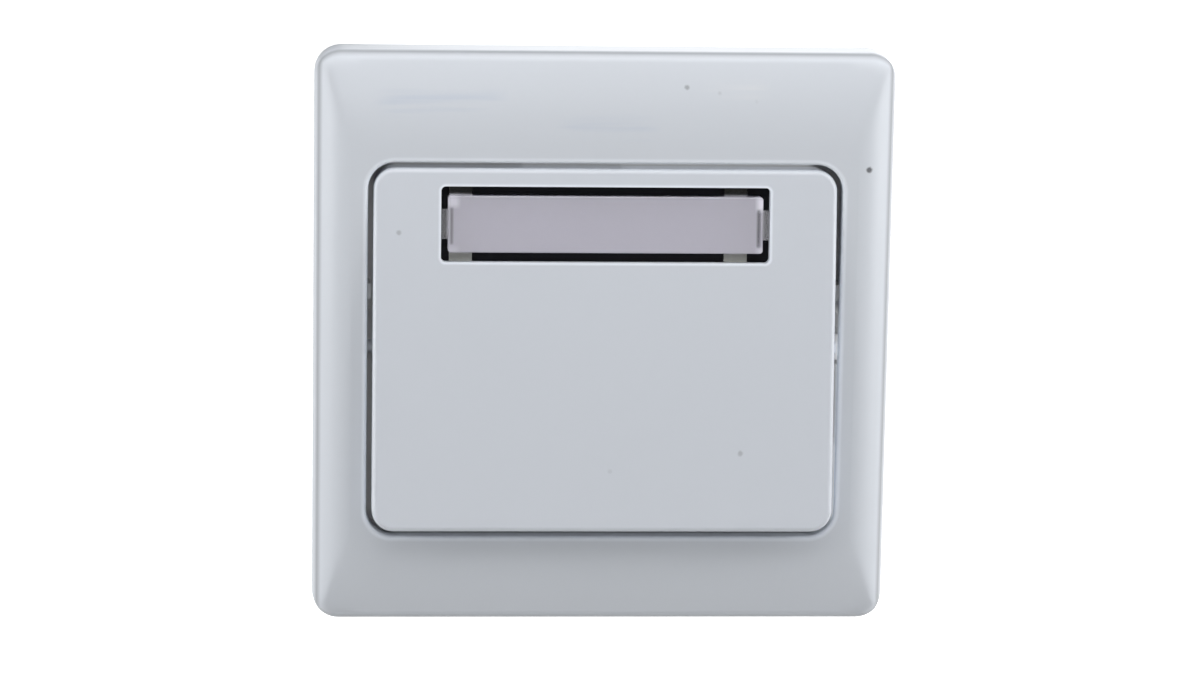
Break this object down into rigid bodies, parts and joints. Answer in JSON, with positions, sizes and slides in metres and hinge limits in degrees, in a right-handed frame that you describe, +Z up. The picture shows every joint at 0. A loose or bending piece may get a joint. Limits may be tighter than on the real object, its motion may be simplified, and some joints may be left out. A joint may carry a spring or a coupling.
{
  "type": "illuminated doorbell switch",
  "caption": "Square wall-mounted illuminated doorbell switch: cushion-shaped frame, wide sprung push plate with a lit name window, and a momentary contact mechanism behind.",
  "frame": {"origin": "midway between the two fixing slots, on the wall surface at the back of the support plate", "axes": "+X right seen from the front, +Y into the wall, +Z up"},
  "size_m": [0.086, 0.0328, 0.086],
  "materials": {
    "frame_white": "glossy white moulded plastic",
    "rocker_white": "satin white moulded plastic",
    "support_white": "plain white moulded plastic",
    "plunger_white": "slippery white plastic",
    "lens_clear": "clear moulded plastic",
    "card_paper": "pale uncoated card",
    "diffuser_milky": "milky diffusing plastic",
    "tray_black": "black moulded plastic",
    "housing_dark": "dark heat-resistant plastic",
    "cover_dark": "dark heat-resistant plastic",
    "screw_zinc": "zinc-plated steel",
    "screw_brass": "plain brass",
    "block_brass": "milled brass",
    "strip_brass": "stamped brass strip",
    "tip_silver": "silver contact rivets",
    "spring_steel": "spring wire",
    "board_green": "lacquered circuit board",
    "led_white": "clear water-white resin",
    "resistor_beige": "lacquered ceramic body",
    "diode_black": "black epoxy body",
    "lead_red": "soft insulated wire"
  },
  "bodies": {
    "base": {"outer_frame": "frame_white", "support_plate": "support_white", "mechanism_housing": "housing_dark", "rear_cover": "cover_dark", "housing_screws": "screw_zinc", "fixed_contact_left": "strip_brass", "fixed_contact_right": "strip_brass", "fixed_tips": "tip_silver", "terminal_blocks": "block_brass", "terminal_screws": "screw_brass", "lamp_board": "board_green", "lamp_leds": "led_white", "lamp_resistor": "resistor_beige", "lamp_diode": "diode_black", "lamp_leads": "lead_red", "return_spring": "spring_steel"},
    "push_plate": {"rocker": "rocker_white", "window_lens": "lens_clear", "name_card": "card_paper", "light_diffuser": "diffuser_milky", "card_tray": "tray_black"},
    "plunger_unit": {"plunger": "plunger_white", "contact_spring": "spring_steel", "contact_bridge": "strip_brass", "bridge_tips": "tip_silver", "spring_retainer": "screw_zinc"}
  },
  "joints": [
    {"name": "push_plate_hinge", "type": "hinge", "parent": "base", "child": "push_plate", "pos_m": [0, -0.0049, -0.0015], "axis": [1, 0, 0], "range_deg": [0, 4.2], "stiffness_Nm_per_rad": 0.4, "springref_deg": -6.88},
    {"name": "plunger_slide", "type": "slide", "parent": "base", "child": "plunger_unit", "axis": [0, 1, 0], "range_m": [0, 0.00105], "deforming": ["return_spring"]}
  ],
  "couplings": [
    {"joint": "plunger_slide", "follows": "push_plate_hinge", "m_per_rad": 0.014}
  ]
}
